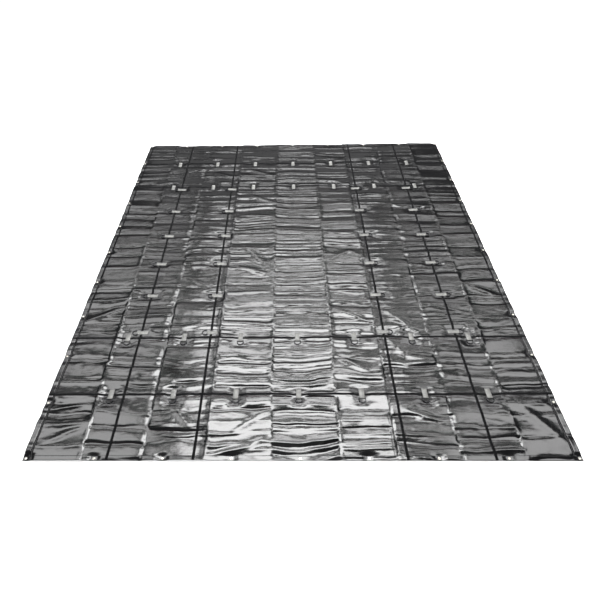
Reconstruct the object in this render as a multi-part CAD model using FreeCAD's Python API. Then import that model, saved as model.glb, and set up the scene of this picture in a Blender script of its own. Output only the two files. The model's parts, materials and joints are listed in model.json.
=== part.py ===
import FreeCAD, Part
import math
import os

# A black vinyl-coated tarpaulin, 16 ft by 20 ft, lying flat: three lengthwise vinyl panels joined by
# lap seams, a webbing-filled hem with brass grommets, and two rows of webbing straps parallel to every
# side. Each strap carries sewn webbing tabs that hold loose steel D-rings.
#
# Frame: millimetres, +Z up, X across the width, Y along the length, origin at the middle of the underside.
# The near end is at -Y and the far end at +Y.

FOOT = 304.8

# ---- driving dimensions ----
width = 16 * FOOT
length = 20 * FOOT
vinyl_t = 0.6                    # coated fabric of about 18 oz per square yard
seam_x = 2.75 * FOOT             # a lap seam's middle line, either side of the sheet's middle
lap_w = 30.0                     # overlap of two panels at a seam

hem_w = 50.0                     # folded edge with webbing inside
hem_t = 2.0                      # folded vinyl and webbing, above the sheet

webbing_t = 1.5
strap_w = 25.4                   # 1 in webbing for the straps
tab_w = 50.0                     # 2 in webbing for the tabs
side_straps = (2.43 * FOOT, 4.93 * FOOT)   # from each long side to a lengthwise strap's middle
near_straps = (2.38 * FOOT, 4.90 * FOOT)   # from the near end to a crosswise strap's middle
far_straps = (2.20 * FOOT, 4.60 * FOOT)    # from the far end to a crosswise strap's middle
ramp_l = 15.0                    # a strap climbs over what it crosses within this length

ring_pitch = 2 * FOOT
rings_across = 7                 # on each crosswise strap, centred
rings_along = 6                  # on each lengthwise strap
first_ring_from_far = 4.83 * FOOT

wire_r = 3.97                    # 5/16 in welded wire
ring_inner_w = 56.0
ring_corner_r = 6.0              # bend of the wire's middle line beside the straight bar
ring_leg_l = 20.0                # from the bar's middle line to the middle of the round bow
ring_gap = 0.3                   # between a ring and what it lies on or turns in

bar_offset = 46.0                # from the strap's middle line outwards to the ring's bar
tab_tail = 70.0                  # from the strap's middle line inwards to the tab's end
tab_taper = 8.0                  # the tab thickens to its loop within this length
tab_plies = 2

grommets_per_end = 9             # along the near and far hems, corners included
grommets_per_side = 11           # along the long hems, corners included
eye_r = 6.35                     # half-inch eye
barrel_r = 7.0
flange_r = 12.0
brass_t = 0.6
rim_r = 8.8                      # the barrel's end, rolled out over the washer
rim_h = 0.9

# ---- worked-out heights and places ----
sheet_top = vinyl_t
strap_top = sheet_top + webbing_t
tab_t = tab_plies * webbing_t
bore_r = wire_r + ring_gap
loop_r = bore_r + webbing_t
bar_z = sheet_top + loop_r
ring_half = ring_inner_w / 2 + wire_r          # bar middle to leg middle line
ring_reach = ring_leg_l + ring_half            # bar to the bow's middle line
rest_drop = bar_z - (sheet_top + ring_gap + wire_r)
rest_tilt = math.degrees(math.asin(rest_drop / ring_reach))
inside_w = width - 2 * hem_w
inside_l = length - 2 * hem_w
grommet_x = width / 2 - hem_w / 2
grommet_y = length / 2 - hem_w / 2


def vec(x, y, z=0.0):
    return FreeCAD.Vector(x, y, z)


def block(x0, x1, y0, y1, z0, z1):
    return Part.makeBox(x1 - x0, y1 - y0, z1 - z0, vec(x0, y0, z0))


def post(r, z0, z1, place):
    """An upright cylinder at (x, y)."""
    return Part.makeCylinder(r, z1 - z0, vec(place[0], place[1], z0))


def save(node, solids):
    """Write one node's solids to its STEP file."""
    shape = solids[0] if len(solids) == 1 else Part.makeCompound(solids)
    shape.exportStep(f"parts/{node}.step")


def spread(count, reach):
    """Evenly spaced values from -reach to reach."""
    return [-reach + 2 * reach * i / (count - 1) for i in range(count)]


# ---- grommet places ----
def grommet_places():
    """(x, y) of every grommet: both ends with their corners, then the long sides between them."""
    ends = [(x, y) for y in (-grommet_y, grommet_y) for x in spread(grommets_per_end, grommet_x)]
    sides = [(x, y) for x in (-grommet_x, grommet_x) for y in spread(grommets_per_side, grommet_y)[1:-1]]
    return ends + sides


def drilled(solid, r):
    """The solid with a hole of radius r at each grommet that stands in it."""
    box = solid.BoundBox
    inside = [p for p in grommet_places() if box.XMin < p[0] < box.XMax and box.YMin < p[1] < box.YMax]
    holes = [post(r, box.ZMin - 1, box.ZMax + 1, p) for p in inside]
    return solid.cut(holes).Solids[0]


# ---- vinyl panels ----
def outer_panel(side):
    """side is -1 for the left panel and 1 for the right one."""
    x0, x1 = sorted((side * seam_x, side * width / 2))
    return drilled(block(x0, x1, -length / 2, length / 2, 0, vinyl_t), flange_r)


def centre_panel():
    """The middle panel, whose long edges step up and lap over the outer panels between the hems."""
    panel = block(-seam_x, seam_x, -length / 2, length / 2, 0, vinyl_t)
    for side in (-1, 1):
        x0, x1 = sorted((side * (seam_x - lap_w / 2), side * (seam_x + lap_w / 2)))
        panel = panel.fuse(block(x0, x1, -inside_l / 2, inside_l / 2, vinyl_t, 2 * vinyl_t))
    return drilled(panel.removeSplitter(), flange_r)


# ---- hem ----
def hem_strips():
    """Four folded edges: two across the ends, and two along the sides between them."""
    top = sheet_top + hem_t
    strips = []
    for side in (-1, 1):
        y0, y1 = sorted((side * length / 2, side * inside_l / 2))
        strips.append(block(-width / 2, width / 2, y0, y1, sheet_top, top))
    for side in (-1, 1):
        x0, x1 = sorted((side * width / 2, side * inside_w / 2))
        strips.append(block(x0, x1, -inside_l / 2, inside_l / 2, sheet_top, top))
    return [drilled(strip, barrel_r) for strip in strips]


# ---- straps ----
def lengthwise_xs():
    outer, inner = (width / 2 - d for d in side_straps)
    return {"left_outer": -outer, "left_inner": -inner, "right_inner": inner, "right_outer": outer}


def crosswise_ys():
    near_outer, near_inner = (-length / 2 + d for d in near_straps)
    far_outer, far_inner = (length / 2 - d for d in far_straps)
    return {"near_outer": near_outer, "near_inner": near_inner, "far_inner": far_inner, "far_outer": far_outer}


def lengthwise_strap(x):
    return block(x - strap_w / 2, x + strap_w / 2, -inside_l / 2, inside_l / 2, sheet_top, strap_top)


def crosswise_strap(y):
    """A strap that climbs over the lap seams and the lengthwise straps it crosses."""
    humps = [(side * seam_x, lap_w / 2, 2 * vinyl_t) for side in (-1, 1)]
    humps += [(x, strap_w / 2, strap_top) for x in lengthwise_xs().values()]
    under = [(-inside_w / 2, sheet_top)]
    for x, half, top in sorted(humps):
        under += [(x - half - ramp_l, sheet_top), (x - half, top), (x + half, top), (x + half + ramp_l, sheet_top)]
    under.append((inside_w / 2, sheet_top))
    over = [(x, z + webbing_t) for x, z in reversed(under)]
    outline = [vec(x, y - strap_w / 2, z) for x, z in under + over]
    return Part.Face(Part.makePolygon(outline + outline[:1])).extrude(vec(0, strap_w))


# ---- ring stations ----
def ring_stations():
    """Name, place on the strap's middle line, and outward direction of every ring."""
    stations = []
    for row, y in crosswise_ys().items():
        out = (0, -1 if y < 0 else 1)
        for i in range(rings_across):
            x = (i - (rings_across - 1) / 2) * ring_pitch
            stations.append((f"ring_{row}_{i + 1}", (x, y), out))
    for row, x in lengthwise_xs().items():
        out = (-1 if x < 0 else 1, 0)
        for i in range(rings_along):
            y = length / 2 - first_ring_from_far - i * ring_pitch
            stations.append((f"ring_{row}_{i + 1}", (x, y), out))
    return stations


def placed(shape, place, out):
    """Move a shape from its own frame, in which +X points outwards, to its station."""
    moved = shape.copy()
    moved.rotate(vec(0, 0), vec(0, 0, 1), math.degrees(math.atan2(out[1], out[0])))
    moved.translate(vec(*place))
    return moved


def tab():
    """Webbing folded round the ring's bar and sewn down across the strap, as one solid."""
    half = tab_w / 2
    edge = strap_w / 2               # the strap's edge, which the tab climbs over
    foot = edge + ramp_l / 2
    under = [(-tab_tail, sheet_top), (-foot, sheet_top), (-edge, strap_top)]
    under += [(edge, strap_top), (foot, sheet_top), (bar_offset, sheet_top)]
    over = [(bar_offset, bar_z + loop_r / 2), (bar_offset - loop_r - tab_taper, sheet_top + tab_t)]
    over += [(foot, sheet_top + tab_t), (edge, strap_top + tab_t)]
    over += [(-edge, strap_top + tab_t), (-foot, sheet_top + tab_t), (-tab_tail, sheet_top + tab_t)]
    outline = [vec(s, -half, z) for s, z in under + over]
    legs = Part.Face(Part.makePolygon(outline + outline[:1])).extrude(vec(0, tab_w))
    across = vec(0, 1, 0)
    loop = Part.makeCylinder(loop_r, tab_w, vec(bar_offset, -half, bar_z), across)
    bore = Part.makeCylinder(bore_r, tab_w + 2, vec(bar_offset, -half - 1, bar_z), across)
    return legs.fuse(loop).cut(bore).Solids[0]


def d_ring():
    """A welded D-ring: a straight bar, two rounded corners, two short legs and a round bow."""
    turn = ring_corner_r * (1 - math.sqrt(0.5))
    bar_end = ring_half - ring_corner_r
    edges = [Part.LineSegment(vec(0, -bar_end), vec(0, bar_end))]
    for side in (1, -1):
        edges.append(Part.Arc(
            vec(0, side * bar_end),
            vec(turn, side * (ring_half - turn)),
            vec(ring_corner_r, side * ring_half),
        ))
        edges.append(Part.LineSegment(
            vec(ring_corner_r, side * ring_half),
            vec(ring_leg_l, side * ring_half),
        ))
    edges.append(Part.Arc(vec(ring_leg_l, ring_half), vec(ring_reach, 0), vec(ring_leg_l, -ring_half)))
    path = Part.Wire(Part.__sortEdges__([e.toShape() for e in edges]))
    section = Part.Wire(Part.makeCircle(wire_r, vec(0, 0), vec(0, 1, 0)))
    ring = path.makePipeShell([section], True, True)
    ring.rotate(vec(0, 0), vec(0, 1, 0), rest_tilt)
    ring.translate(vec(bar_offset, 0, bar_z))
    return ring


# ---- grommets ----
def grommet():
    """A brass eyelet with a flange below and a rolled rim above, and the washer under that rim."""
    washer_z = sheet_top + hem_t
    rim_z = washer_z + brass_t
    profile = [
        Part.LineSegment(vec(eye_r, 0, 0), vec(flange_r, 0, 0)),
        Part.LineSegment(vec(flange_r, 0, 0), vec(flange_r, 0, brass_t)),
        Part.LineSegment(vec(flange_r, 0, brass_t), vec(barrel_r, 0, brass_t)),
        Part.LineSegment(vec(barrel_r, 0, brass_t), vec(barrel_r, 0, rim_z)),
        Part.LineSegment(vec(barrel_r, 0, rim_z), vec(rim_r, 0, rim_z)),
        Part.Arc(vec(rim_r, 0, rim_z), vec((rim_r + eye_r) / 2, 0, rim_z + rim_h), vec(eye_r, 0, rim_z)),
        Part.LineSegment(vec(eye_r, 0, rim_z), vec(eye_r, 0, 0)),
    ]
    face = Part.Face(Part.Wire([line.toShape() for line in profile]))
    eyelet = face.revolve(vec(0, 0, 0), vec(0, 0, 1), 360)
    washer = post(flange_r, washer_z, rim_z, (0, 0)).cut(post(barrel_r, washer_z - 1, rim_z + 1, (0, 0)))
    return [eyelet, washer.Solids[0]]


# ---- build ----
os.makedirs("parts", exist_ok=True)

save("panel_left", [outer_panel(-1)])
save("panel_centre", [centre_panel()])
save("panel_right", [outer_panel(1)])
save("hem", hem_strips())
save("straps_lengthwise", [lengthwise_strap(x) for x in lengthwise_xs().values()])
save("straps_crosswise", [crosswise_strap(y) for y in crosswise_ys().values()])

one_tab = tab()
one_ring = d_ring()
save("ring_tabs", [placed(one_tab, place, out) for _, place, out in ring_stations()])
for node, place, out in ring_stations():
    save(node, [placed(one_ring, place, out)])

one_grommet = grommet()
brass = []
for x, y in grommet_places():
    for piece in one_grommet:
        copy = piece.copy()
        copy.translate(vec(x, y))
        brass.append(copy)
save("grommets", brass)

print(f"rings {len(ring_stations())}, grommets {len(grommet_places())}")
print(f"ring axis height {bar_z:.3f}, rest tilt {rest_tilt:.3f} deg, reach {ring_reach:.3f}")
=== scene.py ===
# %% [markdown]
# # A vinyl tarpaulin with D-rings, lying flat
# This scene dresses a large machinery tarpaulin that a CAD program has already laid out. The real thing is
# three lengths of vinyl-coated polyester welded side by side, with a grommeted hem, webbing straps and a
# loose D-ring about every two feet. CAD holds the plan: where each strap, tab, ring and grommet is. What it
# can't hold is the cloth, because a sheet that has been folded into a parcel never lies flat again. So the
# sheet, hem, straps, tabs and grommets are made again here over that plan, and the D-rings stay as they are.

import json
import math

import bpy
import numpy as np
from mathutils import Matrix, Vector


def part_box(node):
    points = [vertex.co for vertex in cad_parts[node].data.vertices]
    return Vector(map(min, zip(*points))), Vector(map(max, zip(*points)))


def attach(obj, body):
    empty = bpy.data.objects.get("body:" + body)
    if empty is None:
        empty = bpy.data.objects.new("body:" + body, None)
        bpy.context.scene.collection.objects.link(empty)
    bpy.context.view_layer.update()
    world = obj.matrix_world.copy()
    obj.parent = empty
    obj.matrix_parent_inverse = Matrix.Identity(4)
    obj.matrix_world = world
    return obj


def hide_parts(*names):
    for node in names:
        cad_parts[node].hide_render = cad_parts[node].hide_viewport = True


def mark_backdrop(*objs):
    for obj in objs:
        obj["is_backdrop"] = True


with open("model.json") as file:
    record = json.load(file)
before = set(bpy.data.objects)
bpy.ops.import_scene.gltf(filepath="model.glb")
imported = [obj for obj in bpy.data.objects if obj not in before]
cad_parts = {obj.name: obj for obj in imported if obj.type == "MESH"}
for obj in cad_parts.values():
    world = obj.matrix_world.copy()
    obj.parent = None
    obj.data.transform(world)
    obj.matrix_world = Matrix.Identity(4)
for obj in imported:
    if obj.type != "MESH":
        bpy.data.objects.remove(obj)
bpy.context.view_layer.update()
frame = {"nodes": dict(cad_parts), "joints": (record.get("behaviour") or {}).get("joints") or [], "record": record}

# %% [markdown]
# ## Reading the plan from the frame
# Little is measured twice. The edges of the sheet come from the hem's box, the lap seams from where the outer
# panels end, and each ring's place from its own hinge, so a change in the CAD plan carries through. Only a
# few widths that no box gives by itself are stated again.

# %% Sizes that come from the frame
hem_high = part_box("hem")[1]
HALF_W, HALF_L = hem_high.x, hem_high.y
SEAM_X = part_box("panel_right")[0].x
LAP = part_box("panel_centre")[1].x - SEAM_X
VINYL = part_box("panel_left")[1].z
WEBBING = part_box("straps_lengthwise")[1].z - VINYL
HEM_W = 0.050
STRAP_W = 0.0254
TAB_W = 0.050
RING_WIRE_R = 0.00397

hinges = {j["child"]: j for j in frame["joints"]}
BAR_Z = next(iter(hinges.values()))["pos_m"][2]
BAR_OFFSET = 0.046

stations = []
for body, hinge in hinges.items():
    outward = Vector((-hinge["axis"][1], hinge["axis"][0], 0))
    place = Vector(hinge["pos_m"]) - outward * BAR_OFFSET
    place.z = 0
    stations.append((body, place, outward))
STRAP_XS = sorted({round(p.x, 4) for _, p, out in stations if abs(out.x) > 0.5})
STRAP_YS = sorted({round(p.y, 4) for _, p, out in stations if abs(out.y) > 0.5})
print("lengthwise straps at x =", STRAP_XS, "crosswise straps at y =", STRAP_YS)

# %% Where the grommets stand
eye_mounts = [m for m in frame["record"]["mounts"] if m["kind"] == "bolt_pattern"]


def eyes_of(mount):
    """The two or four eyes of one pattern, which mirror each other about its middle."""
    dims, middle = mount["dims"], mount["pos_m"]
    half_x, half_y = dims.get("spacing_x_mm", 0) / 2000, dims.get("spacing_y_mm", 0) / 2000
    return {(middle[0] + i * half_x, middle[1] + j * half_y) for i in (-1, 1) for j in (-1, 1)}


grommet_places = [Vector((x, y, 0)) for mount in eye_mounts for x, y in sorted(eyes_of(mount))]
EYE_R = eye_mounts[0]["dims"]["hole_r_mm"] / 1000
print(len(stations), "rings and", len(grommet_places), "grommets")

# %% [markdown]
# ## The camera
# A product shot of a large tarp is taken from a step ladder at one end, with a wide lens, looking down a
# little over forty degrees. The sheet's sides then run together towards the top of the picture.

# %% Camera
camera_data = bpy.data.cameras.new("camera")
camera_data.sensor_width = 36
camera_data.lens = 32.25
camera_data.shift_x = 0.0375
camera = bpy.data.objects.new("camera", camera_data)
bpy.context.scene.collection.objects.link(camera)
camera.location = (-0.107, -5.602, 4.154)
camera.rotation_euler = (math.radians(48.29), math.radians(0.91), math.radians(0.56))
bpy.context.scene.camera = camera
print("camera stands", round(camera.location.z, 2), "m up")

# %% [markdown]
# ## The lie of the cloth
# Coated cloth is limp but it doesn't stretch, so it keeps three kinds of mark. The long creases are from the
# accordion folds of the parcel it was shipped in, and they run the whole length. Between them each strip
# has buckled crosswise into facets that end at the long creases. Last come a few slanting folds where
# the sheet was dragged into place. All of them are heights above the floor. A cloth solver would make
# wrinkles too, but not these ones, so they are drawn as ridge lines, each with a crest, a width and faded
# ends.

# %% Helpers for heights
FOOT = 0.3048
MM = 0.001


def smooth(t):
    """0 below 0, 1 above 1, and an even S between."""
    t = np.clip(t, 0, 1)
    return t * t * (3 - 2 * t)


def lumps(x, y, size_x, size_y, seed):
    """Soft random hills of about the given size, from -1 to 1."""
    table = np.random.default_rng(seed).uniform(-1, 1, (64, 64))
    u, v = x / size_x + 100, y / size_y + 100
    i, j = np.floor(u).astype(int), np.floor(v).astype(int)
    s, t = smooth(u - i), smooth(v - j)
    near = table[i % 64, j % 64] * (1 - s) + table[(i + 1) % 64, j % 64] * s
    far = table[i % 64, (j + 1) % 64] * (1 - s) + table[(i + 1) % 64, (j + 1) % 64] * s
    return near * (1 - t) + far * t


def crest(d, width):
    """A fold's cross-section: a sharp top that falls away to either side."""
    return np.exp(0.35 - np.sqrt((d / width) ** 2 + 0.12))


# %% [markdown]
# A fold line is a short path of two or more points. Its height at any place depends on the distance to the
# nearest stretch of that path and fades out past the path's two ends.

# %% One fold line
def fold(x, y, path, height, width):
    """Height that one fold adds at x, y. A negative height is a trough."""
    best = np.full(x.shape, 1e9)
    for (x0, y0), (x1, y1) in zip(path, path[1:]):
        dx, dy = x1 - x0, y1 - y0
        t = np.clip(((x - x0) * dx + (y - y0) * dy) / (dx * dx + dy * dy), 0, 1)
        best = np.minimum(best, np.hypot(x - x0 - t * dx, y - y0 - t * dy))
    ends = 0.6
    (x0, y0), (x1, y1) = path[0], path[-1]
    span = math.hypot(x1 - x0, y1 - y0)
    along = ((x - x0) * (x1 - x0) + (y - y0) * (y1 - y0)) / (span * span)
    fade = smooth((along + 0.15) / ends) * smooth((1.15 - along) / ends)
    return height * crest(best, width) * fade


# %% The long creases
FOLD_XS = [FOOT * v for v in (-6.4, -4.6, -2.75, -0.86, 1.18, 2.8, 4.6, 6.45)]
FOLD_HEIGHTS = [MM * v for v in (9, -7, 11, 15, 17, 11, -7, 9)]
FOLD_W = 0.017


def wander_of(i, y):
    """How far long crease i strays sideways at y, in metres."""
    return 0.012 * lumps(y, y * 0, 0.7, 1, 40 + i)


def long_creases(x, y):
    """Accordion folds, most of them up and two down, that wander a little and come and go."""
    total = np.zeros(x.shape)
    for i, (fold_x, height) in enumerate(zip(FOLD_XS, FOLD_HEIGHTS)):
        strength = 0.95 + 0.4 * lumps(y, y * 0, 0.5, 1, 60 + i)
        total += height * strength * crest(x - fold_x - wander_of(i, y), FOLD_W)
    return total


# %% [markdown]
# Between two long creases a strip is not smooth either. It has buckled into facets, each a hand or so deep
# and as wide as the strip, with a sharp crease where two facets meet. A list of crease places along the
# strip, each with a height, gives the facets by straight interpolation. Bending the coordinate that is looked
# up makes the creases wander, and neighbouring strips have lists of their own, so they don't line up.

# %% The facets of every strip
STRIP_EDGES = [-HALF_W - 0.1] + FOLD_XS + [HALF_W + 0.1]
FACET_DEPTHS = [0.17, 0.14, 0.13, 0.12, 0.055, 0.11, 0.10, 0.13, 0.16]     # usual depth in each strip
BLEND = 0.03       # over this width one strip's facets give way to the next strip's


def strip_creases():
    """Each strip's creases: where, how high, how far they stick out of the facets, and how wide."""
    random = np.random.default_rng(7)
    strips = []
    for depth in FACET_DEPTHS:
        places = [-HALF_L - 0.3]
        while places[-1] < HALF_L + 0.3:
            places.append(places[-1] + depth * random.uniform(0.35, 1.65))
        count = len(places)
        heights = MM * random.uniform(2.0, 15.0, count) * (0.5 + 4 * depth)
        pinches = MM * random.choice([-1, 1], count) * random.uniform(7.0, 15.0, count) * (0.25 + 5.5 * depth)
        strips.append((np.array(places), heights, pinches, 0.009 + 0.065 * depth))
    return strips


def facets(x, y, creases, seed):
    """Height of one strip's facets and creases."""
    places, heights, pinches, width = creases
    bent = y + 0.035 * lumps(x, y, 0.38, 0.5, seed) + 0.010 * lumps(x, y, 0.11, 0.15, seed + 20)
    height = np.interp(bent, places, heights)
    after = np.clip(np.searchsorted(places, bent), 1, len(places) - 1)
    nearest = np.where(bent - places[after - 1] < places[after] - bent, after - 1, after)
    strength = 0.9 + 0.6 * lumps(x, nearest * 1.0, 0.22, 1, seed + 40)
    return height + pinches[nearest] * strength * crest(bent - places[nearest], width)


def all_facets(x, y):
    """Every strip's facets, which change over within a few centimetres of each long crease."""
    total = np.zeros(x.shape)
    for i, (left, right, creases) in enumerate(zip(STRIP_EDGES, STRIP_EDGES[1:], creases_of_strips)):
        wander = wander_of(i, y)
        share = smooth((x - left - wander) / BLEND + 0.5) * smooth((right - x + wander) / BLEND + 0.5)
        busy = share > 0
        total[busy] += share[busy] * facets(x[busy], y[busy], creases, 100 + i)
    return total


creases_of_strips = strip_creases()
print("creases in each strip:", [len(strip[0]) for strip in creases_of_strips])


# %% Slanting folds, in feet from the sheet's middle
WIDER, TALLER = 1.25, 2.2      # how much the folds below grow, so that they stand out from the facets
CLEARING, CLEARING_REACH = 0.95, 3     # share of the other wrinkles that a fold takes away, and how far round
SLANTS = [
    # path, height in mm, width in mm
    ([(-4.0, -8.0), (-3.2, -9.0)], 11, 17),
    ([(-1.0, -8.2), (-2.0, -9.1)], 11, 18),
    ([(-0.9, -9.1), (-1.5, -9.55), (-2.6, -9.8)], 10, 18),
    ([(-2.33, 0.7), (-0.97, -1.4)], 12, 20),
    ([(-4.3, -1.7), (-3.2, -2.5)], 10, 17),
    ([(-4.15, 0.36), (-3.2, -0.3)], 10, 17),
    ([(1.43, -0.6), (2.3, 0.0), (2.9, -0.5)], 10, 18),
    ([(3.2, -5.25), (3.75, -6.0), (4.4, -6.1)], 11, 19),
    ([(-7.7, -9.5), (-6.9, -9.0), (-6.4, -8.8)], 9, 17),
    ([(-7.7, -8.2), (-6.6, -8.0)], 8, 16),
    ([(6.6, -7.7), (7.8, -9.5)], 10, 24),
    ([(6.6, -2.25), (7.7, -3.0)], 10, 22),
    ([(4.7, -3.3), (6.4, -3.95)], 9, 20),
    ([(-2.4, 4.7), (-0.8, 3.8)], 10, 24),
    ([(-2.6, 7.3), (-0.9, 6.4)], 10, 24),
    ([(-4.3, 6.9), (-2.9, 6.3)], 9, 22),
    ([(0.9, 6.05), (1.9, 5.9), (2.8, 5.6)], 10, 24),
    ([(4.6, 5.9), (5.6, 5.75), (6.4, 5.55)], 9, 24),
    ([(-7.1, 5.6), (-6.3, 5.85), (-5.6, 5.8)], 9, 24),
    ([(-4.2, 5.4), (-3.7, 5.8), (-2.8, 5.85)], 9, 24),
    ([(-4.2, 3.1), (-2.9, 3.05)], 9, 22),
    ([(-2.4, 2.8), (-0.9, 2.7)], 10, 24),
    ([(-2.3, 1.5), (-0.8, 1.6)], 9, 22),
    ([(1.5, 1.35), (2.8, 1.3)], 9, 22),
    ([(-2.4, -1.0), (-1.2, -1.5), (-0.9, -2.2)], 9, 20),
    ([(3.3, -3.7), (3.9, -4.4), (4.3, -5.2)], 10, 20),
    ([(1.4, -3.6), (2.6, -4.3)], 9, 17),
    ([(-4.3, -4.6), (-3.4, -4.4)], 9, 18),
    ([(1.4, -6.0), (2.3, -6.7)], 10, 18),
    ([(3.2, -8.2), (4.4, -8.7)], 10, 20),
    ([(-7.8, -4.3), (-6.5, -3.5)], 9, 20),
]


def slanting_folds():
    """Each fold's path, height and width in metres."""
    return [([(px * FOOT, py * FOOT) for px, py in path], h * MM, WIDER * w * MM) for path, h, w in SLANTS]


# %% [markdown]
# Webbing is stiffer than the sheet, so under a strap the cloth can't fold across the strap's width. Bending
# the coordinates does that: every place within a strap's width reads its height from the strap's middle line.
# Under a sewn tab, ring or grommet the sheet lies down on the floor, where the CAD hardware is.

# %% Straps and hardware hold the cloth down
def drawn_to(values, lines):
    """Pull coordinates near each line onto it, and let them catch up further out."""
    hold, catch_up = 0.016, 0.050
    out = values.copy()
    for line in lines:
        d = values - line
        t = np.clip((np.abs(d) - hold) / (catch_up - hold), 0, 1)
        out = np.where(np.abs(d) < catch_up, line + np.sign(d) * catch_up * t, out)
    return out


PATCH_MIDDLE = 0.017               # middle of tab and ring together, outwards from the strap
PATCH_L, PATCH_W = 0.092, 0.043    # half the length and half the width of the flat patch under them
EYE_PATCH = 0.018                  # radius of the flat patch under a grommet
RECOVERY = 0.06                    # how far outside a patch the wrinkles are whole again


def calm(x, y):
    """1 on free cloth, and 0 under sewn tabs, rings and grommets."""
    factor = np.ones(x.shape)
    for _, place, outward in stations:
        s = (x - place.x) * outward.x + (y - place.y) * outward.y
        u = (x - place.x) * outward.y - (y - place.y) * outward.x
        beyond = np.maximum(np.abs(s - PATCH_MIDDLE) - PATCH_L, 0)
        outside = np.hypot(beyond, np.maximum(np.abs(u) - PATCH_W, 0))
        factor = np.minimum(factor, smooth(outside / RECOVERY))
    for eye in grommet_places:
        outside = np.hypot(x - eye.x, y - eye.y) - EYE_PATCH
        factor = np.minimum(factor, smooth(outside / RECOVERY))
    return factor


# %% The height of the sheet's underside
FULL = 0.0190      # folds flatten towards this height, within what cloth may stand above the CAD model's box
REST = 1.0         # mm that the cloth floats between its folds
SWELL, RIPPLE = 4.5, 1.0       # mm, the broad and the fine unevenness between the folds
SOFT = 0.8         # mm, how gradually a hollow meets the floor


def lie(x, y):
    """Height of the sheet's underside above the floor, in metres."""
    u, v = drawn_to(x, STRAP_XS), drawn_to(y, STRAP_YS)
    height = long_creases(u, v) + all_facets(u, v)
    height += MM * SWELL * lumps(u, v, 0.36, 0.24, 11) + MM * RIPPLE * lumps(u, v, 0.16, 0.07, 12)
    for path, amount, width in slanting_folds():
        reach = width * 5
        low_x, high_x = min(p[0] for p in path) - reach, max(p[0] for p in path) + reach
        low_y, high_y = min(p[1] for p in path) - reach, max(p[1] for p in path) + reach
        near = (u > low_x) & (u < high_x) & (v > low_y) & (v < high_y)
        if near.any():
            cleared = 1 - CLEARING * fold(u[near], v[near], path, 1, width * CLEARING_REACH)
            height[near] = height[near] * cleared + fold(u[near], v[near], path, amount * TALLER, width)
    height += MM * REST
    height = (height + np.sqrt(height * height + (MM * SOFT) ** 2)) / 2
    return FULL * np.tanh(height * calm(x, y) / FULL)


# %% [markdown]
# ## Cloth meshes
# Each panel is a grid whose columns crowd together at the long creases, where the shape turns quickly, and
# stay wide apart between them. Solidify then gives the grid the thickness of coated cloth, with closed edges.

# %% Mesh helpers
def piece_from(name, vertices, faces, smooth_shading=True):
    """A new object at the origin, with its place in its mesh."""
    mesh = bpy.data.meshes.new(name)
    mesh.from_pydata([tuple(v) for v in vertices], [], faces)
    mesh.validate()
    if smooth_shading:
        mesh.shade_smooth()
    piece = bpy.data.objects.new(name, mesh)
    bpy.context.scene.collection.objects.link(piece)
    return piece


def grid_faces(rows, columns):
    """Quads of a grid whose vertices run along a row first."""
    quads = []
    for r in range(rows - 1):
        for c in range(columns - 1):
            a = r * columns + c
            quads.append((a, a + 1, a + columns + 1, a + columns))
    return quads


def apply_modifiers(piece):
    """Turn the evaluated piece into its plain mesh."""
    bpy.context.view_layer.update()
    evaluated = piece.evaluated_get(bpy.context.evaluated_depsgraph_get())
    mesh = bpy.data.meshes.new_from_object(evaluated)
    piece.modifiers.clear()
    piece.data = mesh
    return piece


NEAR_FOLD = 0.035  # columns crowd together this near to a long crease


def columns_between(x0, x1, wide, close):
    """Values from x0 to x1, closer together near the long creases."""
    xs = [x0]
    while xs[-1] < x1:
        crowd = min(abs(xs[-1] + close / 2 - fold_x) for fold_x in FOLD_XS)
        xs.append(xs[-1] + (close if crowd < NEAR_FOLD else wide))
    last = xs[-1] - x0
    return np.array([x0 + (value - x0) * (x1 - x0) / last for value in xs])


# %% The three panels
ROWS = 670
COLUMN_WIDE, COLUMN_CLOSE = 0.035, 0.009
LAP_STEP = 1.25    # how far the centre panel rises over its neighbours, in thicknesses of vinyl
TUCK = 0.040       # how far inside the sheet's edge a panel ends, hidden in the hem


def panel(name, x0, x1, laps):
    """One length of vinyl from x0 to x1. If it laps, its long edges climb over the neighbours."""
    xs = columns_between(x0, x1, COLUMN_WIDE, COLUMN_CLOSE)
    ys = np.linspace(-HALF_L + TUCK, HALF_L - TUCK, ROWS)
    x, y = np.meshgrid(xs, ys)
    z = lie(x, y) + VINYL
    if laps:
        over = smooth((np.abs(x) - (SEAM_X - LAP - 0.006)) / 0.006)
        z += over * VINYL * LAP_STEP
    vertices = np.stack([x, y, z], -1).reshape(-1, 3)
    piece = piece_from(name, vertices, grid_faces(ROWS, len(xs)))
    thick = piece.modifiers.new("thickness", "SOLIDIFY")
    thick.thickness = VINYL
    thick.offset = -1
    apply_modifiers(piece)
    print(name, "has", sum(len(p.vertices) - 2 for p in piece.data.polygons), "triangles")
    return piece


left_panel = panel("vinyl_left", -HALF_W + TUCK, -SEAM_X + LAP, False)
centre_panel = panel("vinyl_centre", -SEAM_X - LAP, SEAM_X + LAP, True)
right_panel = panel("vinyl_right", SEAM_X - LAP, HALF_W - TUCK, False)

# %% [markdown]
# ## Webbing straps
# A strap is a flat ribbon, so it is built as one: a thin rounded section carried along the strap's middle
# line at the height of the cloth. Crosswise straps were sewn on last and climb over the lengthwise ones, and
# every strap runs over the hem to the edge.

# %% Ribbon section and strap
def ribbon_section(width, thickness):
    """Corners of a ribbon's cross-section (across, up), rounded at its two long edges."""
    w, t, r = width / 2, thickness, thickness * 0.45
    upper = [(-w + r, t), (-w / 3, t), (w / 3, t), (w - r, t), (w, t - r)]
    lower = [(w, r), (w - r, 0), (0, 0), (-w + r, 0), (-w, r), (-w, t - r)]
    return upper + lower


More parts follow.
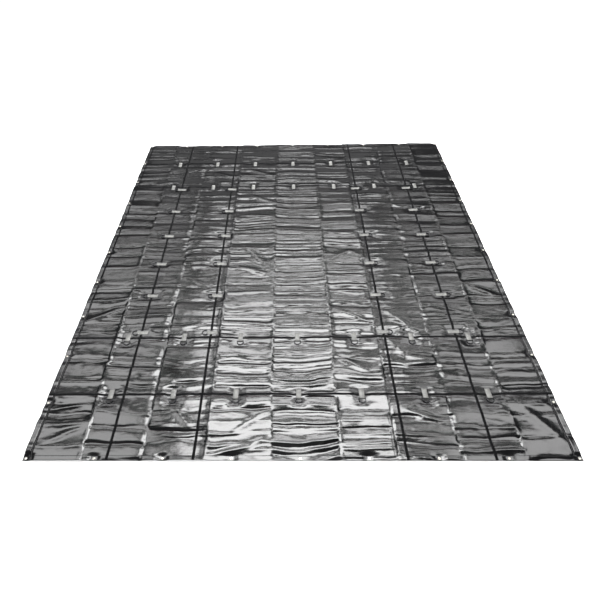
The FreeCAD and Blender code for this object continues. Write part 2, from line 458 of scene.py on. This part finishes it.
def hump(d, half, climb):
    """1 on top of something as wide as 2 * half, falling to 0 within climb."""
    return smooth((half + climb - np.abs(d)) / climb)


def sheet_under(x, y):
    """Height of the vinyl's upper face, lap seams included."""
    lap = VINYL * LAP_STEP * hump(np.abs(x) - SEAM_X, LAP, 0.008)
    return lie(x, y) + VINYL + lap


def ribbon(name, points, across, width, thickness, sink=0.0):
    """A closed ribbon that stands on points, or sinks into them; across is its width's direction."""
    section = ribbon_section(width, thickness)
    vertices = []
    for i, p in enumerate(points):
        tangent = (points[min(i + 1, len(points) - 1)] - points[max(i - 1, 0)]).normalized()
        up = tangent.cross(across)
        vertices += [p + across * s + up * (rise - sink) for s, rise in section]
    n, rows = len(section), len(points)
    faces = []
    for r in range(rows - 1):
        for c in range(n):
            a, b = r * n + c, r * n + (c + 1) % n
            faces.append((a, a + n, b + n, b))
    faces.append(tuple(range(n)))
    faces.append(tuple(reversed(range((rows - 1) * n, rows * n))))
    return piece_from(name, vertices, faces)


def joined(name, parts):
    """One object from several, each of which is used up."""
    vertices, faces = [], []
    for part in parts:
        start = len(vertices)
        vertices += [v.co.copy() for v in part.data.vertices]
        faces += [tuple(i + start for i in f.vertices) for f in part.data.polygons]
        bpy.data.objects.remove(part)
    return piece_from(name, vertices, faces)


STEP = 0.012       # spacing of the points along straps and hem
EASE = 0.0004      # a hair of room, so that the ribbon never dips into the cloth
HEM_TOP = 0.0033   # top of the hem above the underside of the sheet
STRAP_END = 0.003  # how far inside the sheet's edge a strap stops


def strap_heights(x, y):
    """Underside of a lengthwise strap at its middle line. At its ends it steps up on to the hem."""
    past_hem = np.maximum(np.abs(x) - (HALF_W - HEM_W), np.abs(y) - (HALF_L - HEM_W))
    return sheet_under(x, y) + EASE + smooth(past_hem / 0.010 + 1) * (HEM_TOP - VINYL)


def crossing_heights(x, y):
    """Underside of a crosswise strap, which climbs over the lengthwise ones."""
    climb = sum(hump(x - line, STRAP_W / 2 + 0.002, 0.014) for line in STRAP_XS)
    return strap_heights(x, y) + climb * (WEBBING + EASE)


def lengthwise_straps():
    """All four, as one piece."""
    parts = []
    ys = np.linspace(-HALF_L + STRAP_END, HALF_L - STRAP_END, round(2 * HALF_L / STEP))
    for line in STRAP_XS:
        xs = np.full(ys.shape, line)
        points = [Vector(p) for p in zip(xs, ys, strap_heights(xs, ys))]
        parts.append(ribbon("strap", points, Vector((-1, 0, 0)), STRAP_W, WEBBING))
    return joined("straps_along", parts)


def crosswise_straps():
    """All four, as one piece. Their points are closer together, to follow the humps."""
    parts = []
    xs = np.linspace(-HALF_W + STRAP_END, HALF_W - STRAP_END, round(3 * HALF_W / STEP))
    for line in STRAP_YS:
        ys = np.full(xs.shape, line)
        points = [Vector(p) for p in zip(xs, ys, crossing_heights(xs, ys))]
        parts.append(ribbon("strap", points, Vector((0, 1, 0)), STRAP_W, WEBBING))
    return joined("straps_across", parts)


straps_along = lengthwise_straps()
straps_across = crosswise_straps()
print("straps made:", len(straps_along.data.vertices) + len(straps_across.data.vertices), "vertices")

# %% [markdown]
# ## The hem
# The sheet's edge is folded over a length of webbing and sewn down. From outside it is a soft rounded band
# that follows the cloth. One band goes round the whole sheet, with mitred corners, so it is a closed ring.

# %% Hem band
HEM_SECTION = [      # inwards from the outer edge, and up from the sheet's underside
    (0.000, 0.0012), (0.0008, 0.0024), (0.004, 0.0030), (0.010, 0.0027), (0.022, 0.0029),
    (0.036, 0.0027), (0.045, 0.0029), (0.0495, 0.0024), (0.050, 0.0008), (0.040, -0.0002),
    (0.020, -0.0002), (0.004, -0.0002), (0.0008, 0.0003),
]
HEM_GAP = 0.0003     # lifts the section's lowest points just clear of the floor


def hem_band():
    """Carry the section round all four edges; at a corner every inset shrinks both ways."""
    outline = []
    across, along = round(2 * HALF_W / STEP), round(2 * HALF_L / STEP)
    for i in range(across):
        outline.append((-HALF_W + 2 * HALF_W * i / across, -HALF_L))
    for i in range(along):
        outline.append((HALF_W, -HALF_L + 2 * HALF_L * i / along))
    for i in range(across):
        outline.append((HALF_W - 2 * HALF_W * i / across, HALF_L))
    for i in range(along):
        outline.append((-HALF_W, HALF_L - 2 * HALF_L * i / along))
    outline = np.array(outline)
    rings = []
    for inset, up in HEM_SECTION:
        x = np.clip(outline[:, 0], -HALF_W + inset, HALF_W - inset)
        y = np.clip(outline[:, 1], -HALF_L + inset, HALF_L - inset)
        rings.append(np.stack([x, y, lie(x, y) + up + HEM_GAP], -1))
    n, m = len(outline), len(HEM_SECTION)
    vertices = np.concatenate(rings)
    faces = []
    for k in range(m):
        for i in range(n):
            a, b = k * n + i, k * n + (i + 1) % n
            c, d = ((k + 1) % m) * n + (i + 1) % n, ((k + 1) % m) * n + i
            faces.append((a, b, c, d))
    return piece_from("hem_band", vertices, faces)


hem = hem_band()
print("hem band:", len(hem.data.polygons), "faces")

# %% [markdown]
# ## Repeating hardware with Geometry Nodes
# Thirty-six grommets and fifty-two tabs are all alike, so each is made once and a small node tree puts a
# copy on every point of a point cloud. A turn is stored on each point. The tree ends by realising the copies,
# because what follows needs plain geometry.

# %% A tree that places one shape on many points
def node(tree, kind, links=(), **settings):
    """Add a node, set its properties and values, and link its inputs."""
    made = tree.nodes.new(kind)
    for key, value in settings.items():
        if hasattr(made, key):
            setattr(made, key, value)
        else:
            made.inputs[key.replace("_", " ")].default_value = value
    for target, source in links:
        tree.links.new(source, made.inputs[target])
    return made


def placing_tree(name, shape, material):
    """A tree that puts a copy of shape on every point, and its input for the copies' size."""
    tree = bpy.data.node_groups.new(name, "GeometryNodeTree")
    tree.interface.new_socket("Geometry", in_out="INPUT", socket_type="NodeSocketGeometry")
    size = tree.interface.new_socket("Size", in_out="INPUT", socket_type="NodeSocketFloat")
    size.default_value = 1
    tree.interface.new_socket("Geometry", in_out="OUTPUT", socket_type="NodeSocketGeometry")
    start = node(tree, "NodeGroupInput")
    turn = node(tree, "GeometryNodeInputNamedAttribute", data_type="FLOAT_VECTOR")
    turn.inputs["Name"].default_value = "turn"
    source = node(tree, "GeometryNodeObjectInfo")
    source.inputs["Object"].default_value = shape
    copies = node(tree, "GeometryNodeInstanceOnPoints", [
        ("Points", start.outputs["Geometry"]),
        ("Instance", source.outputs["Geometry"]),
        ("Rotation", turn.outputs["Attribute"]),
        ("Scale", start.outputs["Size"]),
    ])
    real = node(tree, "GeometryNodeRealizeInstances", [("Geometry", copies.outputs["Instances"])])
    painted = node(tree, "GeometryNodeSetMaterial", [("Geometry", real.outputs["Geometry"])])
    painted.inputs["Material"].default_value = material
    node(tree, "NodeGroupOutput", [("Geometry", painted.outputs["Geometry"])])
    return tree


def scattered(name, places, turns, shape, material, size=1.0):
    """Copies of shape at places, size times as large and turned by (x, y, z) angles, as one plain mesh."""
    points = piece_from(name, places, [], False)
    turn = points.data.attributes.new("turn", "FLOAT_VECTOR", "POINT")
    turn.data.foreach_set("vector", [angle for t in turns for angle in t])
    modifier = points.modifiers.new("copies", "NODES")
    tree = placing_tree(name + "_tree", shape, material)
    modifier.node_group = tree
    sockets = {item.name: item.identifier for item in tree.interface.items_tree if item.in_out == "INPUT"}
    modifier[sockets["Size"]] = size
    apply_modifiers(points)
    return points


# %% [markdown]
# ## Finishes
# Each material is named for what the real surface is, and for the light or shade painted into its colour where
# there is some. Colours are written as the hex values a designer would use and turned to linear light by one
# function. Patterns read Object coordinates, which are metres, so a texture's scale is one over its size in
# metres.

# %% Material helpers
def linear(hex_colour):
    """A #rrggbb colour as the linear values that a shader needs."""
    parts = [int(hex_colour[i:i + 2], 16) / 255 for i in (1, 3, 5)]
    return [c / 12.92 if c <= 0.04045 else ((c + 0.055) / 1.055) ** 2.4 for c in parts] + [1]


def new_material(name):
    """An empty node tree with a Principled shader, and the coordinates that patterns read."""
    material = bpy.data.materials.new(name)
    material.use_nodes = True
    tree = material.node_tree
    tree.nodes.clear()
    shader = node(tree, "ShaderNodeBsdfPrincipled")
    node(tree, "ShaderNodeOutputMaterial", [("Surface", shader.outputs["BSDF"])])
    where = node(tree, "ShaderNodeTexCoord")
    return material, tree, shader, where.outputs["Object"]


def stretched(tree, coordinates, x, y, z=1.0, turn=0.0):
    """Coordinates scaled by x, y, z, turned about Z by turn radians."""
    mapping = node(tree, "ShaderNodeMapping", [("Vector", coordinates)])
    mapping.inputs["Scale"].default_value = (x, y, z)
    mapping.inputs["Rotation"].default_value = (0, 0, turn)
    return mapping.outputs["Vector"]


# %% [markdown]
# Vinyl coating is PVC calendered onto a polyester scrim. It is nearly black and shines like wet plastic,
# with an IOR near 1.53, but handling leaves it faintly scuffed, so the shine is broken up. The finest
# wrinkles are too small for the mesh. They are bump: ridged noise drawn out across the strips, as the big
# ones are.

# %% Calendered black vinyl
def calendered_vinyl():
    """Scuffs vary its colour and shine, and two sizes of noise give the finest wrinkles as bump."""
    material, tree, shader, where = new_material("calendered_black_vinyl")
    scuffs = node(tree, "ShaderNodeTexNoise", [("Vector", stretched(tree, where, 1, 1))], Scale=2.3, Detail=6)
    tone = node(tree, "ShaderNodeValToRGB", [("Fac", scuffs.outputs["Fac"])])
    tone.color_ramp.elements[0].position = 0.35
    tone.color_ramp.elements[0].color = linear("#060607")
    tone.color_ramp.elements[1].position = 0.70
    tone.color_ramp.elements[1].color = linear("#0d0d0e")
    tree.links.new(tone.outputs["Color"], shader.inputs["Base Color"])
    shine = node(tree, "ShaderNodeMapRange", [("Value", scuffs.outputs["Fac"])])
    shine.inputs["To Min"].default_value = 0.10
    shine.inputs["To Max"].default_value = 0.20
    tree.links.new(shine.outputs["Result"], shader.inputs["Roughness"])
    shader.inputs["IOR"].default_value = 1.53
    creases = node(tree, "ShaderNodeTexNoise", [("Vector", stretched(tree, where, 9, 15))],
                   noise_type="RIDGED_MULTIFRACTAL", Scale=1.0, Detail=4, Roughness=0.6)
    crumple = node(tree, "ShaderNodeTexNoise", [("Vector", stretched(tree, where, 24, 40, 1, 0.5))],
                   Scale=1.0, Detail=3)
    broad = node(tree, "ShaderNodeBump", [("Height", creases.outputs["Fac"])], Strength=0.8, Distance=0.0022)
    fine = node(tree, "ShaderNodeBump",
                [("Height", crumple.outputs["Fac"]), ("Normal", broad.outputs["Normal"])],
                Strength=0.6, Distance=0.0008)
    tree.links.new(fine.outputs["Normal"], shader.inputs["Normal"])
    return material


# %% [markdown]
# Strap webbing is a plain weave of dull polyester. Two crossed wave patterns make its ribs, and it scatters
# light, so it looks darker than the shining sheet beside it. The ribs are drawn about 7 mm apart, several
# times coarser than real ones, so that they show on a sheet this large. The tabs under the rings are the same
# weave in a paler grey, which is painted sheen: it stands for the glint that the webbing catches where it
# folds over the strap.

# %% Woven webbing
RIB_PITCH = 0.0069115


def woven(name, dark, pale, roughness, gloss):
    """A plain weave: worn patches from dark to pale, and ribs both ways as bump."""
    material, tree, shader, where = new_material(name)
    scale = 2 * math.pi / 20 / RIB_PITCH       # a wave texture has 20 / (2 * pi) bands to the unit
    ribs_x = node(tree, "ShaderNodeTexWave", [("Vector", where)], bands_direction="X", Scale=scale)
    ribs_y = node(tree, "ShaderNodeTexWave", [("Vector", where)], bands_direction="Y", Scale=scale)
    weave = node(tree, "ShaderNodeMath",
                 [(0, ribs_x.outputs["Fac"]), (1, ribs_y.outputs["Fac"])], operation="MULTIPLY")
    wear = node(tree, "ShaderNodeTexNoise", [("Vector", where)], Scale=14, Detail=4)
    tone = node(tree, "ShaderNodeValToRGB", [("Fac", wear.outputs["Fac"])])
    tone.color_ramp.elements[0].position = 0.3
    tone.color_ramp.elements[0].color = linear(dark)
    tone.color_ramp.elements[1].position = 0.75
    tone.color_ramp.elements[1].color = linear(pale)
    tree.links.new(tone.outputs["Color"], shader.inputs["Base Color"])
    shader.inputs["Roughness"].default_value = roughness
    shader.inputs["Specular IOR Level"].default_value = gloss
    bump = node(tree, "ShaderNodeBump", [("Height", weave.outputs["Value"])], Strength=0.5, Distance=0.0006)
    tree.links.new(bump.outputs["Normal"], shader.inputs["Normal"])
    return material


# %% [markdown]
# The rings are welded wire with a dark zinc finish, darkened further to near black with painted shade for their
# shadow and for the dark surroundings that they mirror, and the eyelets are brass with a thin bright nickel
# plating. Both are metal, so Metallic is 1 and the colour is the colour of the reflection.

# %% Metals
def plated(name, dark, pale, low, high):
    """Plated metal, patchy from dark to pale, with roughness from low to high."""
    material, tree, shader, where = new_material(name)
    patches = node(tree, "ShaderNodeTexNoise", [("Vector", where)], Scale=160, Detail=5)
    tone = node(tree, "ShaderNodeValToRGB", [("Fac", patches.outputs["Fac"])])
    tone.color_ramp.elements[0].position = 0.35
    tone.color_ramp.elements[0].color = linear(dark)
    tone.color_ramp.elements[1].position = 0.65
    tone.color_ramp.elements[1].color = linear(pale)
    tree.links.new(tone.outputs["Color"], shader.inputs["Base Color"])
    shader.inputs["Metallic"].default_value = 1.0
    grain = node(tree, "ShaderNodeMapRange", [("Value", patches.outputs["Fac"])])
    grain.inputs["To Min"].default_value = low
    grain.inputs["To Max"].default_value = high
    tree.links.new(grain.outputs["Result"], shader.inputs["Roughness"])
    bump = node(tree, "ShaderNodeBump", [("Height", patches.outputs["Fac"])], Strength=0.15, Distance=0.0002)
    tree.links.new(bump.outputs["Normal"], shader.inputs["Normal"])
    return material


vinyl = calendered_vinyl()
strap_webbing = woven("dull_polyester_webbing", "#050506", "#0b0b0c", 0.85, 0.08)
# The tabs' paler grey is painted sheen, for the glint where the webbing folds over the strap.
tab_webbing = woven("nylon_webbing_painted_sheen", "#525251", "#72726f", 0.45, 0.5)
# The rings' near-black is a dark zinc finish darkened further with painted shade, for their shadow and dark
# reflections.
zinc_with_painted_shade = plated("zinc_steel_with_painted_shade", "#1c1c1e", "#343436", 0.28, 0.42)
nickel = plated("nickel_plated_brass", "#b4b0a6", "#d2cec4", 0.24, 0.38)
thread = woven("bonded_polyester_thread", "#2e2e30", "#48484a", 0.55, 0.3)
print("finishes:", [m.name for m in (vinyl, strap_webbing, tab_webbing, zinc_with_painted_shade, nickel, thread)])

# %% [markdown]
# ## Grommets
# A spur grommet is two stampings: an eyelet whose barrel comes up through the hem, and a washer that the
# barrel's end is rolled over. Both are turned shapes, so each is a short profile spun round the eye.

# %% Spin a profile
def turned(name, profile, steps=28):
    """A closed profile of (radius, height) points spun about Z."""
    vertices, faces = [], []
    for i in range(steps):
        angle = 2 * math.pi * i / steps
        vertices += [(r * math.cos(angle), r * math.sin(angle), z) for r, z in profile]
    n = len(profile)
    for i in range(steps):
        for k in range(n):
            a, b = i * n + k, i * n + (k + 1) % n
            c, d = (i + 1) % steps * n + (k + 1) % n, (i + 1) % steps * n + k
            faces.append((a, d, c, b))
    return piece_from(name, vertices, faces)


BARREL_R, FLANGE_R = 0.0070, 0.0120
EYELET = [
    (EYE_R, 0.0004), (EYE_R + 0.0004, 0.0001), (FLANGE_R - 0.0008, 0.0001), (FLANGE_R, 0.0003),
    (FLANGE_R - 0.0006, 0.0006), (BARREL_R, 0.0007), (BARREL_R, 0.0042), (BARREL_R + 0.0018, 0.0042),
    (BARREL_R + 0.0022, 0.0047), (BARREL_R + 0.0012, 0.0053), (BARREL_R, 0.0054), (EYE_R, 0.0048),
]
WASHER = [
    (BARREL_R + 0.0001, 0.0036), (FLANGE_R - 0.0008, 0.0036), (FLANGE_R, 0.0034), (FLANGE_R + 0.0003, 0.0037),
    (FLANGE_R - 0.0010, 0.0043), (BARREL_R + 0.0024, 0.0042), (BARREL_R + 0.0001, 0.0041),
]


def one_grommet():
    """Eyelet and washer as one shape at the origin."""
    return joined("grommet_shape", [turned("eyelet", EYELET), turned("washer", WASHER)])


pattern = one_grommet()
eye_points = [(p.x, p.y, 0) for p in grommet_places]
grommets = scattered("grommets_set", eye_points, [(0, 0, 0)] * len(eye_points), pattern, nickel)
bpy.data.objects.remove(pattern)
print("grommets:", len(grommets.data.polygons), "faces")

# %% [markdown]
# The hem has to be open where a rope goes through, so its eyes are cut with a Boolean from one set of pins.

# %% Cut the eyes in the hem
def pins(name, radius, places, steps=20):
    """A round pin at each place, to cut with."""
    shape = turned("pin", [(0.0001, -0.01), (radius, -0.01), (radius, 0.02), (0.0001, 0.02)], steps)
    made = scattered(name, places, [(0, 0, 0)] * len(places), shape, nickel)
    bpy.data.objects.remove(shape)
    return made


def cut_eyes(piece, cutter):
    """Take the cutter's pins out of the piece."""
    cut = piece.modifiers.new("eyes", "BOOLEAN")
    cut.operation = "DIFFERENCE"
    cut.solver = "EXACT"
    cut.object = cutter
    apply_modifiers(piece)


cutter = pins("eye_pins", BARREL_R + 0.0004, eye_points)
cut_eyes(hem, cutter)
bpy.data.objects.remove(cutter)
print("hem with eyes:", len(hem.data.polygons), "faces")

# %% [markdown]
# ## Ring tabs
# A tab is one length of webbing: it lies along the sheet, climbs the strap, goes round the ring's straight
# bar and comes back on top of itself. Its path is drawn once, from the tail to the bar and back.

# %% One tab
PLY = 0.00135
STRAP_TOP = VINYL + EASE + WEBBING
LOOP_R = RING_WIRE_R + 0.0004 + PLY / 2


def tab_path():
    """Middle line of the folded webbing, as (outwards, up)."""
    low, high = VINYL + 0.0003 + PLY / 2, VINYL + 0.0005 + PLY * 1.5
    strap_low, strap_high = STRAP_TOP + 0.0001 + PLY / 2, STRAP_TOP + 0.0003 + PLY * 1.5
    path = [(-0.068, low), (-0.050, low), (-0.030, low), (-0.022, low), (-0.018, (low + strap_low) / 2)]
    path += [(-0.0135, strap_low), (-0.005, strap_low), (0.005, strap_low), (0.0135, strap_low)]
    path += [(0.018, (low + strap_low) / 2), (0.022, low), (0.032, low), (0.040, BAR_Z - LOOP_R + 0.0001)]
    for degrees in range(-90, 91, 20):
        a = math.radians(degrees)
        path.append((BAR_OFFSET + LOOP_R * math.cos(a), BAR_Z + LOOP_R * math.sin(a)))
    path += [(0.0420, BAR_Z + LOOP_R * 0.80), (0.0375, BAR_Z + LOOP_R * 0.15), (0.033, high + 0.0012)]
    path += [(0.028, high), (0.022, high), (0.018, (high + strap_high) / 2), (0.0135, strap_high)]
    path += [(0.005, strap_high), (-0.005, strap_high), (-0.0135, strap_high)]
    path += [(-0.018, (high + strap_high) / 2)]
    path += [(-0.022, high), (-0.035, high - 0.0001), (-0.050, high - 0.0001), (-0.070, high - 0.0001)]
    return path


def one_tab():
    points = [Vector((s, 0, z)) for s, z in tab_path()]
    return ribbon("tab_shape", points, Vector((0, 1, 0)), TAB_W - 0.001, PLY, PLY / 2)


def facing(outward):
    return (0, 0, math.atan2(outward.y, outward.x))


pattern = one_tab()
spots = [tuple(place) for _, place, _ in stations]
turns = [facing(outward) for _, _, outward in stations]
# The tabs wear the webbing whose paler grey is painted sheen.
tabs = scattered("tabs_set", spots, turns, pattern, tab_webbing)
bpy.data.objects.remove(pattern)
print("tabs:", len(tabs.data.polygons), "faces")

# %% [markdown]
# ## Stitches
# A sewing machine leaves a row of short thread lengths that dip in and out of the cloth. One stitch is a
# slim spindle of eight faces, and the rows are points at an even pitch. The pitch is 8 mm, twice the real
# one, so that the rows can be seen on a sheet this large.

# %% One stitch and rows of them
PITCH = 0.008


def one_stitch(length=0.0058, width=0.0013, height=0.0007):
    l, w, h = length / 2, width / 2, height / 2
    vertices = [(-l, 0, 0), (l, 0, 0), (0, -w, 0), (0, w, 0), (0, 0, -h), (0, 0, h)]
    faces = [(0, 2, 5), (2, 1, 5), (1, 3, 5), (3, 0, 5), (2, 0, 4), (1, 2, 4), (3, 1, 4), (0, 3, 4)]
    return piece_from("stitch_shape", vertices, faces)


def row_along(x, y0, y1):
    """A lengthwise row of stitches: its xs, its ys and how far each is turned."""
    ys = np.arange(y0, y1, PITCH)
    return np.full(ys.shape, x), ys, math.pi / 2


def row_across(y, x0, x1):
    """A crosswise row of stitches, in the same form."""
    xs = np.arange(x0, x1, PITCH)
    return xs, np.full(xs.shape, y), 0.0


def nearest_line(values, lines):
    """The strap's middle line that each value is nearest to."""
    return values * 0 + np.array([min(lines, key=lambda line: abs(line - value)) for value in values])


def sewn(name, rows, heights, pattern):
    """Stitches along rows of (xs, ys, turn), each lying at heights(xs, ys)."""
    places, turns = [], []
    for xs, ys, turn in rows:
        places += list(zip(xs, ys, heights(xs, ys)))
        turns += [(0, 0, turn)] * len(xs)
    made = scattered(name, places, turns, pattern, thread)
    print(name, len(places), "stitches")
    return made


pattern = one_stitch()
edge = STRAP_W / 2 - 0.0045            # from a strap's middle line to its rows of stitches
in_l = HALF_L - HEM_W                  # the seams' rows stop at the hem
end_w, end_l = HALF_W - 0.008, HALF_L - 0.008      # the straps' rows run over it
along_rows = [row_along(x + s, -end_l, end_l) for x in STRAP_XS for s in (-edge, edge)]
across_rows = [row_across(y + s, -end_w, end_w) for y in STRAP_YS for s in (-edge, edge)]
strap_stitches = sewn("stitches_along", along_rows,
                      lambda x, y: strap_heights(nearest_line(x, STRAP_XS), y) + WEBBING, pattern)
cross_stitches = sewn("stitches_across", across_rows,
                      lambda x, y: crossing_heights(x, nearest_line(y, STRAP_YS)) + WEBBING, pattern)
seam_rows = [row_along(sign * SEAM_X + s, -in_l, in_l)
             for sign in (-1, 1) for s in (-LAP * 0.75, LAP * 0.75)]
seam_stitches = sewn("stitches_seams", seam_rows, lambda x, y: sheet_under(x, y) + 0.0001, pattern)
hem_rows = []
for inset in (0.006, HEM_W - 0.005):
    hem_rows += [row_across(s * (HALF_L - inset), -HALF_W + inset, HALF_W - inset) for s in (-1, 1)]
    hem_rows += [row_along(s * (HALF_W - inset), -HALF_L + inset, HALF_L - inset) for s in (-1, 1)]
hem_stitches = sewn("stitches_hem", hem_rows, lambda x, y: lie(x, y) + HEM_TOP - 0.0001, pattern)

# %% [markdown]
# Each tab is held by a box of stitches with a cross in it on its tail, and by a row along each edge of the
# strap that it crosses.

# %% Tab stitching
def marks_along(lines, top):
    """(outwards, sideways, up, turn) of the stitches on straight lines, in the tab's own frame."""
    marks = []
    for (s0, u0), (s1, u1) in lines:
        count = round(math.hypot(s1 - s0, u1 - u0) / 0.0063)
        for i in range(count):
            t = (i + 0.5) / count
            marks.append((s0 + (s1 - s0) * t, u0 + (u1 - u0) * t, top, math.atan2(u1 - u0, s1 - s0)))
    return marks


def tab_marks():
    corners = [(-0.064, -0.019), (-0.027, -0.019), (-0.027, 0.019), (-0.064, 0.019)]
    box = list(zip(corners, corners[1:] + corners[:1])) + [(corners[0], corners[2]), (corners[1], corners[3])]
    rows = [((s, -0.021), (s, 0.021)) for s in (-0.009, 0.009)]
    return marks_along(box, VINYL + 0.0006 + PLY * 2) + marks_along(rows, STRAP_TOP + 0.0005 + PLY * 2)


def tab_stitching():
    places, angles = [], []
    for _, place, outward in stations:
        heading = math.atan2(outward.y, outward.x)
        for s, u, top, turn in tab_marks():
            places.append(tuple(place + Matrix.Rotation(heading, 3, "Z") @ Vector((s, u, top))))
            angles.append((0, 0, heading + turn))
    return scattered("stitches_tabs", places, angles, pattern, thread)


tab_stitches = tab_stitching()
bpy.data.objects.remove(pattern)
print("tab stitching:", len(tab_stitches.data.polygons), "faces")

# %% [markdown]
# ## Putting it together
# Each piece is listed with the CAD node it stands for and a material slot name. Every piece is parented to the
# body it moves with, and the CAD node it stands for is hidden. The rings are CAD's own meshes, and only get their
# finish.

# %% Finishes on pieces
def wear(piece, material):
    piece.data.materials.clear()
    piece.data.materials.append(material)
    return piece


for sheet_piece in (left_panel, centre_panel, right_panel, hem):
    wear(sheet_piece, vinyl)
for strap in (straps_along, straps_across):
    wear(strap, strap_webbing)
# The rings' finish carries painted shade in its near-black colour.
for body, _, _ in stations:
    ring = frame["nodes"][body]
    for slot in ring.material_slots:
        slot.material = zinc_with_painted_shade

# %% Bodies, nodes and slots
SHEET = "sheet"
stands_for = [
    (left_panel, "panel_left", "vinyl"),
    (centre_panel, "panel_centre", "vinyl"),
    (right_panel, "panel_right", "vinyl"),
    (hem, "hem", "vinyl"),
    (straps_along, "straps_lengthwise", "webbing"),
    (straps_across, "straps_crosswise", "webbing"),
    (tabs, "ring_tabs", "tab_webbing"),
    (grommets, "grommets", "grommet_metal"),
]
for piece, cad_node, slot in stands_for:
    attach(piece, SHEET)
    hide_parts(cad_node)
sewing = [strap_stitches, cross_stitches, seam_stitches, hem_stitches, tab_stitches]
for piece in sewing:
    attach(piece, SHEET)

# %% [markdown]
# ## Floor and light
# The floor is plain and nearly white. Black vinyl shows almost nothing but reflections, so the light is
# really a picture for it to mirror. Rows of soft ceiling panels have gaps between them: a facet that faces a
# panel shines, and one that tips towards a gap goes dark. The middle panels are the brightest, so the sheet
# fades towards its two sides. Panels on the four walls do the same for someone who looks from another side.

# %% Floor
def floor():
    """A plain sheet a hair below the cloth, large enough to reach past any view."""
    size, drop = 60, 0.0006
    corners = [(-size, -size, -drop), (size, -size, -drop), (size, size, -drop), (-size, size, -drop)]
    ground = piece_from("floor", corners, [(0, 1, 2, 3)], False)
    material, _, shader, _ = new_material("plain_pale_floor")
    shader.inputs["Base Color"].default_value = linear("#f6f6f6")
    shader.inputs["Roughness"].default_value = 0.9
    shader.inputs["Specular IOR Level"].default_value = 0.0
    wear(ground, material)
    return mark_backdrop(ground)


floor()


# %% Lights
def soft_panel(name, place, target, width, height, watts):
    """A rectangular light panel at place that faces target."""
    data = bpy.data.lights.new(name, "AREA")
    data.shape = "RECTANGLE"
    data.size, data.size_y = width, height
    data.energy = watts
    lamp = bpy.data.objects.new(name, data)
    bpy.context.scene.collection.objects.link(lamp)
    lamp.location = place
    aim = Vector(target) - Vector(place)
    lamp.rotation_euler = aim.to_track_quat("-Z", "Y").to_euler()


def hazy_sun(strength, angle, turn):
    """Even light from one side, soft-edged enough to pass for a bank of ceiling panels."""
    data = bpy.data.lights.new("ceiling_bank", "SUN")
    data.energy, data.angle = strength, math.radians(angle)
    lamp = bpy.data.objects.new("ceiling_bank", data)
    bpy.context.scene.collection.objects.link(lamp)
    lamp.rotation_euler = [math.radians(a) for a in turn]


CEILING = 6.2
CORE_W, SIDE_W, SIDE_X = 5.2, 3.2, 4.7
STRIPS = [      # middle y and depth in metres, glow of the middle panel and of the two side panels
    (0.9, 2.4, 18, 6.5), (4.4, 1.6, 13, 5.5), (7.2, 1.6, 6.5, 3.6), (9.9, 1.6, 3.2, 2.0),
]
for i, (middle, depth, core_glow, side_glow) in enumerate(STRIPS):
    for part, x, width, glow in (("core", 0, CORE_W, core_glow), ("left", -SIDE_X, SIDE_W, side_glow),
                                 ("right", SIDE_X, SIDE_W, side_glow)):
        soft_panel(f"ceiling_{part}_{i}", (x, middle, CEILING), (x, middle, 0), width, depth,
                   glow * math.pi * width * depth)
WALL, WALL_W, WALL_DEPTH, WALL_GLOW = 11.5, 18.0, 1.1, 1.8
soft_panel("far_wall", (-0.3, WALL, 4.6), (-0.3, 0, 2.0), 9.0, 2.2, 28)
for name, x, y in (("left_wall", -WALL, 0), ("right_wall", WALL, 0), ("near_wall", 0, -WALL)):
    for level, height in (("low", 3.0), ("high", 5.4)):
        soft_panel(f"{name}_{level}", (x, y, height), (0, 0, height - 2), WALL_W, WALL_DEPTH,
                   WALL_GLOW * math.pi * WALL_W * WALL_DEPTH)
hazy_sun(strength=3.0, angle=25, turn=(30, -6, 0))
world = bpy.data.worlds.new("studio")
world.use_nodes = True
bpy.context.scene.world = world
background = world.node_tree.nodes["Background"]
background.inputs["Color"].default_value = (1, 1, 1, 1)
background.inputs["Strength"].default_value = 0.10
bpy.context.scene.view_settings.view_transform = "Standard"
